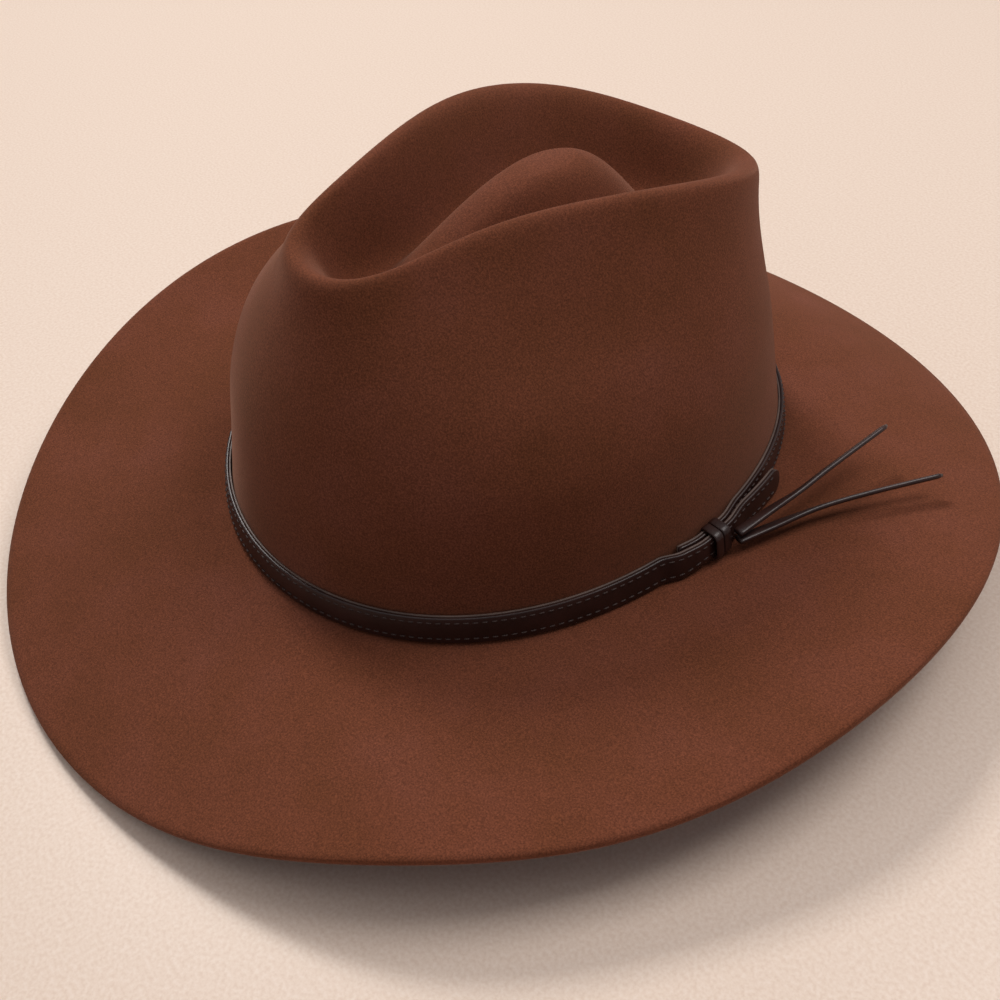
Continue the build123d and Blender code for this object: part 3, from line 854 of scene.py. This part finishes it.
def back_point(across, height, toward_head):
    """Beside the back seam: millimetres round the hat, up the wall and towards the head."""
    return wall_point(180 - across * DEGREES_PER_MM, SWEATBAND_IN - toward_head, height)


ZIGZAG_HALF_WIDTH = 1.3
ZIGZAG_RISE = 2
ZIGZAG_THREAD = 0.25
toward_front = np.array([0.0, -1.0, 0.0])
zigzag = []
for k in range(17):
    side = -ZIGZAG_HALF_WIDTH if k % 2 else ZIGZAG_HALF_WIDTH
    foot = SWEATBAND_FOOT + 4 + ZIGZAG_RISE * k
    lower_end = back_point(side, foot, ZIGZAG_THREAD)
    upper_end = back_point(-side, foot + ZIGZAG_RISE, ZIGZAG_THREAD)
    zigzag.append((lower_end, upper_end, toward_front))
stitch_row("back_seam_zigzag", zigzag, "thread", "hat", "sweatband_seam_thread",
           ZIGZAG_THREAD, 1.0)

BOW_HEIGHT = (SWEATBAND_FOOT + SWEATBAND_HEIGHT) / 2


def bow_loop(side):
    """A ribbon loop, wider at its outer end than at the knot."""
    rows = []
    for t in np.linspace(0, 2 * pi, 40, endpoint=False):
        across = 2.1 + 5.5 * (1 - cos(t))
        depth = 3.0 + 1.35 * sin(t)
        half = 1.6 + 1.0 * (1 - cos(t)) / 2
        ring = []
        for height, thick in ((half, 0.15), (half, -0.15), (-half, -0.15), (-half, 0.15)):
            out = thick if sin(t) > 0 else -thick
            ring.append(back_point(side * across, BOW_HEIGHT + height, depth + out))
        rows.append(ring)
    return np.array(rows)


loops_piece("bow_ribbon_loops", [bow_loop(side) for side in (-1, 1)],
            "ribbon", "hat", "sweatband_bow")

knot_rows = []
for across in np.linspace(-2, 2, 9):
    pull = 1 - 0.12 * (1 - abs(across) / 2)
    section = [(2.1 + 1.9 * cos(t), 2.9 * sin(t)) for t in np.linspace(0, 2 * pi, 20, endpoint=False)]
    knot_rows.append([back_point(across, BOW_HEIGHT + h * pull, d) for d, h in section])
grid_piece("bow_ribbon_knot", np.array(knot_rows), "ribbon", "hat", "sweatband_bow_knot",
           round_hat=False)

LABEL_ANGLE = 155
LABEL_WIDTH = 24
LABEL_HEIGHT = 14
LABEL_THICKNESS = 0.38
label_half = 90 * LABEL_WIDTH / (pi * BASE_HALF_LENGTH)
label_foot = SWEATBAND_FOOT + WELT_FLANGE + 2
label_out = SWEATBAND_IN - 0.12
label_section = rounded_section(label_out - LABEL_THICKNESS, label_out, label_foot,
                                label_foot + LABEL_HEIGHT, 0.12, 1)
label_rows = []
for deg in np.linspace(LABEL_ANGLE - label_half, LABEL_ANGLE + label_half, 24):
    label_rows.append([wall_point(deg, out, height) for out, height in label_section])
grid_piece("woven_size_label", np.array(label_rows), "label", "hat", "size_label", round_hat=False)
print("zigzag stitches", len(zigzag))

# %% [markdown]
# The liner is satin, cut as a side strip and an oval tip. The strip is eased into the smaller tip
# seam, so it falls in soft gathers that grow towards the seam. A covered cord hides the join.

# %% Satin liner
TIP_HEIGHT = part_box("liner_tip")[0][2] / MM - PLY_GAP
SATIN_TURN = np.arange(0, 360, 0.75)


def tip_oval(deg, inset, height):
    """The oval of the tip seam, or an oval inside it, at a height."""
    spot = wall_point(deg, LINER_OUT, 0)
    share = TIP_SHARE - inset / BASE_HALF_WIDTH
    return np.stack([spot[..., 0] * share, CROWN_SET_BACK + (spot[..., 1] - CROWN_SET_BACK) * share,
                     height + 0 * spot[..., 0]], -1)


def gathers(deg, amount):
    """Uneven small pleats round the hat: two waves whose crests wander."""
    a = np.radians(deg)
    return amount * (0.7 * np.sin(46 * a + 2 * np.sin(3 * a)) + 0.4 * np.sin(71 * a + np.sin(5 * a)))


WALL_STEPS = ((SWEATBAND_HEIGHT - LINER_TUCK, 0),
              (SWEATBAND_HEIGHT - LINER_TUCK / 2, 0),
              (SWEATBAND_HEIGHT, 0),
              (SWEATBAND_HEIGHT + LINER_SHOULDER_RISE, LINER_SHOULDER_LEAN))


def liner_side_grid():
    """Columns climb the inside face, turn over the top, and come down the outside face."""
    faces_of_satin = []
    for outset, inset in ((LINER_IN, LINER), (LINER_OUT, 0)):
        columns = []
        for height, lean in WALL_STEPS:
            fold = gathers(SATIN_TURN, 0.02 * max(0, height - SWEATBAND_HEIGHT) ** 1.2)
            columns.append(wall_point(SATIN_TURN, outset - lean - np.abs(fold), height))
        foot, seam = columns[-1], tip_oval(SATIN_TURN, inset, TIP_HEIGHT)
        for share in (0.12, 0.25, 0.38, 0.5, 0.62, 0.75, 0.88, 0.96):
            swell = gathers(SATIN_TURN, 0.9 * sin(pi * share) + 0.35 * share)
            spot = foot + (seam - foot) * share
            inward = np.stack([-spot[:, 0], CROWN_SET_BACK - spot[:, 1], -60 + 0 * spot[:, 0]], -1)
            inward /= np.linalg.norm(inward, axis=1, keepdims=True)
            columns.append(spot + inward * (np.abs(swell) + 0.3 * share)[:, None])
        columns.append(seam)
        faces_of_satin.append(columns)
    inside, outside = faces_of_satin
    return np.stack(inside + outside[::-1], 1)


side = grid_piece("satin_liner_side", liner_side_grid(), "satin", "hat", "liner_side")

tip_columns = []
tip_shares = np.linspace(1, 0.002, 16)
for layer, shares in ((PLY_GAP, tip_shares), (PLY_GAP + LINER, tip_shares[::-1])):
    for share in shares:
        spot = tip_oval(SATIN_TURN, 0, 0) * share
        spot[:, 1] += CROWN_SET_BACK * (1 - share)
        spot[:, 2] = TIP_HEIGHT + layer + 0.15 * (1 - share ** 2)
        tip_columns.append(spot)
tip = grid_piece("satin_liner_tip", np.stack(tip_columns, 1), "satin", "hat", "liner_tip")

cord_columns = []
for t in range(0, 360, 30):
    inset = PIPING_RADIUS + SOFT_GAP + LINER + PIPING_RADIUS * cos(radians(t))
    drop = PIPING_RADIUS + PLY_GAP + PIPING_RADIUS * sin(radians(t))
    cord_columns.append(tip_oval(INSIDE_TURN, inset, TIP_HEIGHT - drop))
grid_piece("liner_seam_cord", np.stack(cord_columns, 1), "satin", "hat", "liner_piping")
print("liner tip at height", round(TIP_HEIGHT, 1), "mm")

# %% [markdown]
# The floor is a pale stone top, not attached to the hat. A soft lamp high on the hat's right gives
# the main light and the shadow under the near brim, two wider ones behind and above soften it,
# and the world fills in the rest.

# %% Floor and light
FLOOR_SIZE = 6.0
SPECK_SIZE = 1.2 * MM
floor_mesh = bpy.data.meshes.new("floor")
half = FLOOR_SIZE / 2
floor_corners = [(-half, -half, 0), (half, -half, 0), (half, half, 0), (-half, half, 0)]
floor_mesh.from_pydata(floor_corners, [], [(0, 1, 2, 3)])
floor = bpy.data.objects.new("floor", floor_mesh)
bpy.context.scene.collection.objects.link(floor)
stone = new_material("honed_quartz_top")
where = position_in_piece(stone)
specks = add(stone, "TexNoise", {"Vector": (where, "Object")}, Scale=1 / SPECK_SIZE, Detail=2.0)
stone_colour = ramp(stone, specks, "Fac", [(0.3, "#DDC8B7"), (0.5, "#E3D0C0"), (0.7, "#E8D7C9")])
floor_mesh.materials.append(finish_material(stone, stone_colour, Roughness=0.35, Specular_IOR_Level=0.3))


HAT_MIDDLE = Vector((0, 0, 0.05))


def soft_lamp(name, stand, size, power, colour):
    """A square lamp in metres and watts, turned to the hat."""
    lamp = bpy.data.lights.new(name, "AREA")
    lamp.size = size
    lamp.energy = power
    lamp.color = linear(colour)[:3]
    holder = bpy.data.objects.new(name, lamp)
    holder.location = stand
    holder.rotation_euler = (Vector(stand) - HAT_MIDDLE).to_track_quat("Z", "Y").to_euler()
    bpy.context.scene.collection.objects.link(holder)


soft_lamp("window_right", (-1.15, 0.25, 1.5), 0.4, 19, "#FFFBF7")
soft_lamp("window_behind", (0.35, 1.0, 1.7), 0.9, 17, "#FFFAF7")
soft_lamp("room_above", (-0.1, -0.5, 2.0), 1.6, 7.5, "#FFF8F4")
world = bpy.data.worlds.new("room")
world.use_nodes = True
world.node_tree.nodes["Background"].inputs["Color"].default_value = linear("#FAF8FF")
world.node_tree.nodes["Background"].inputs["Strength"].default_value = 0.22
bpy.context.scene.world = world
print("lamps", [lamp.name for lamp in bpy.data.lights])
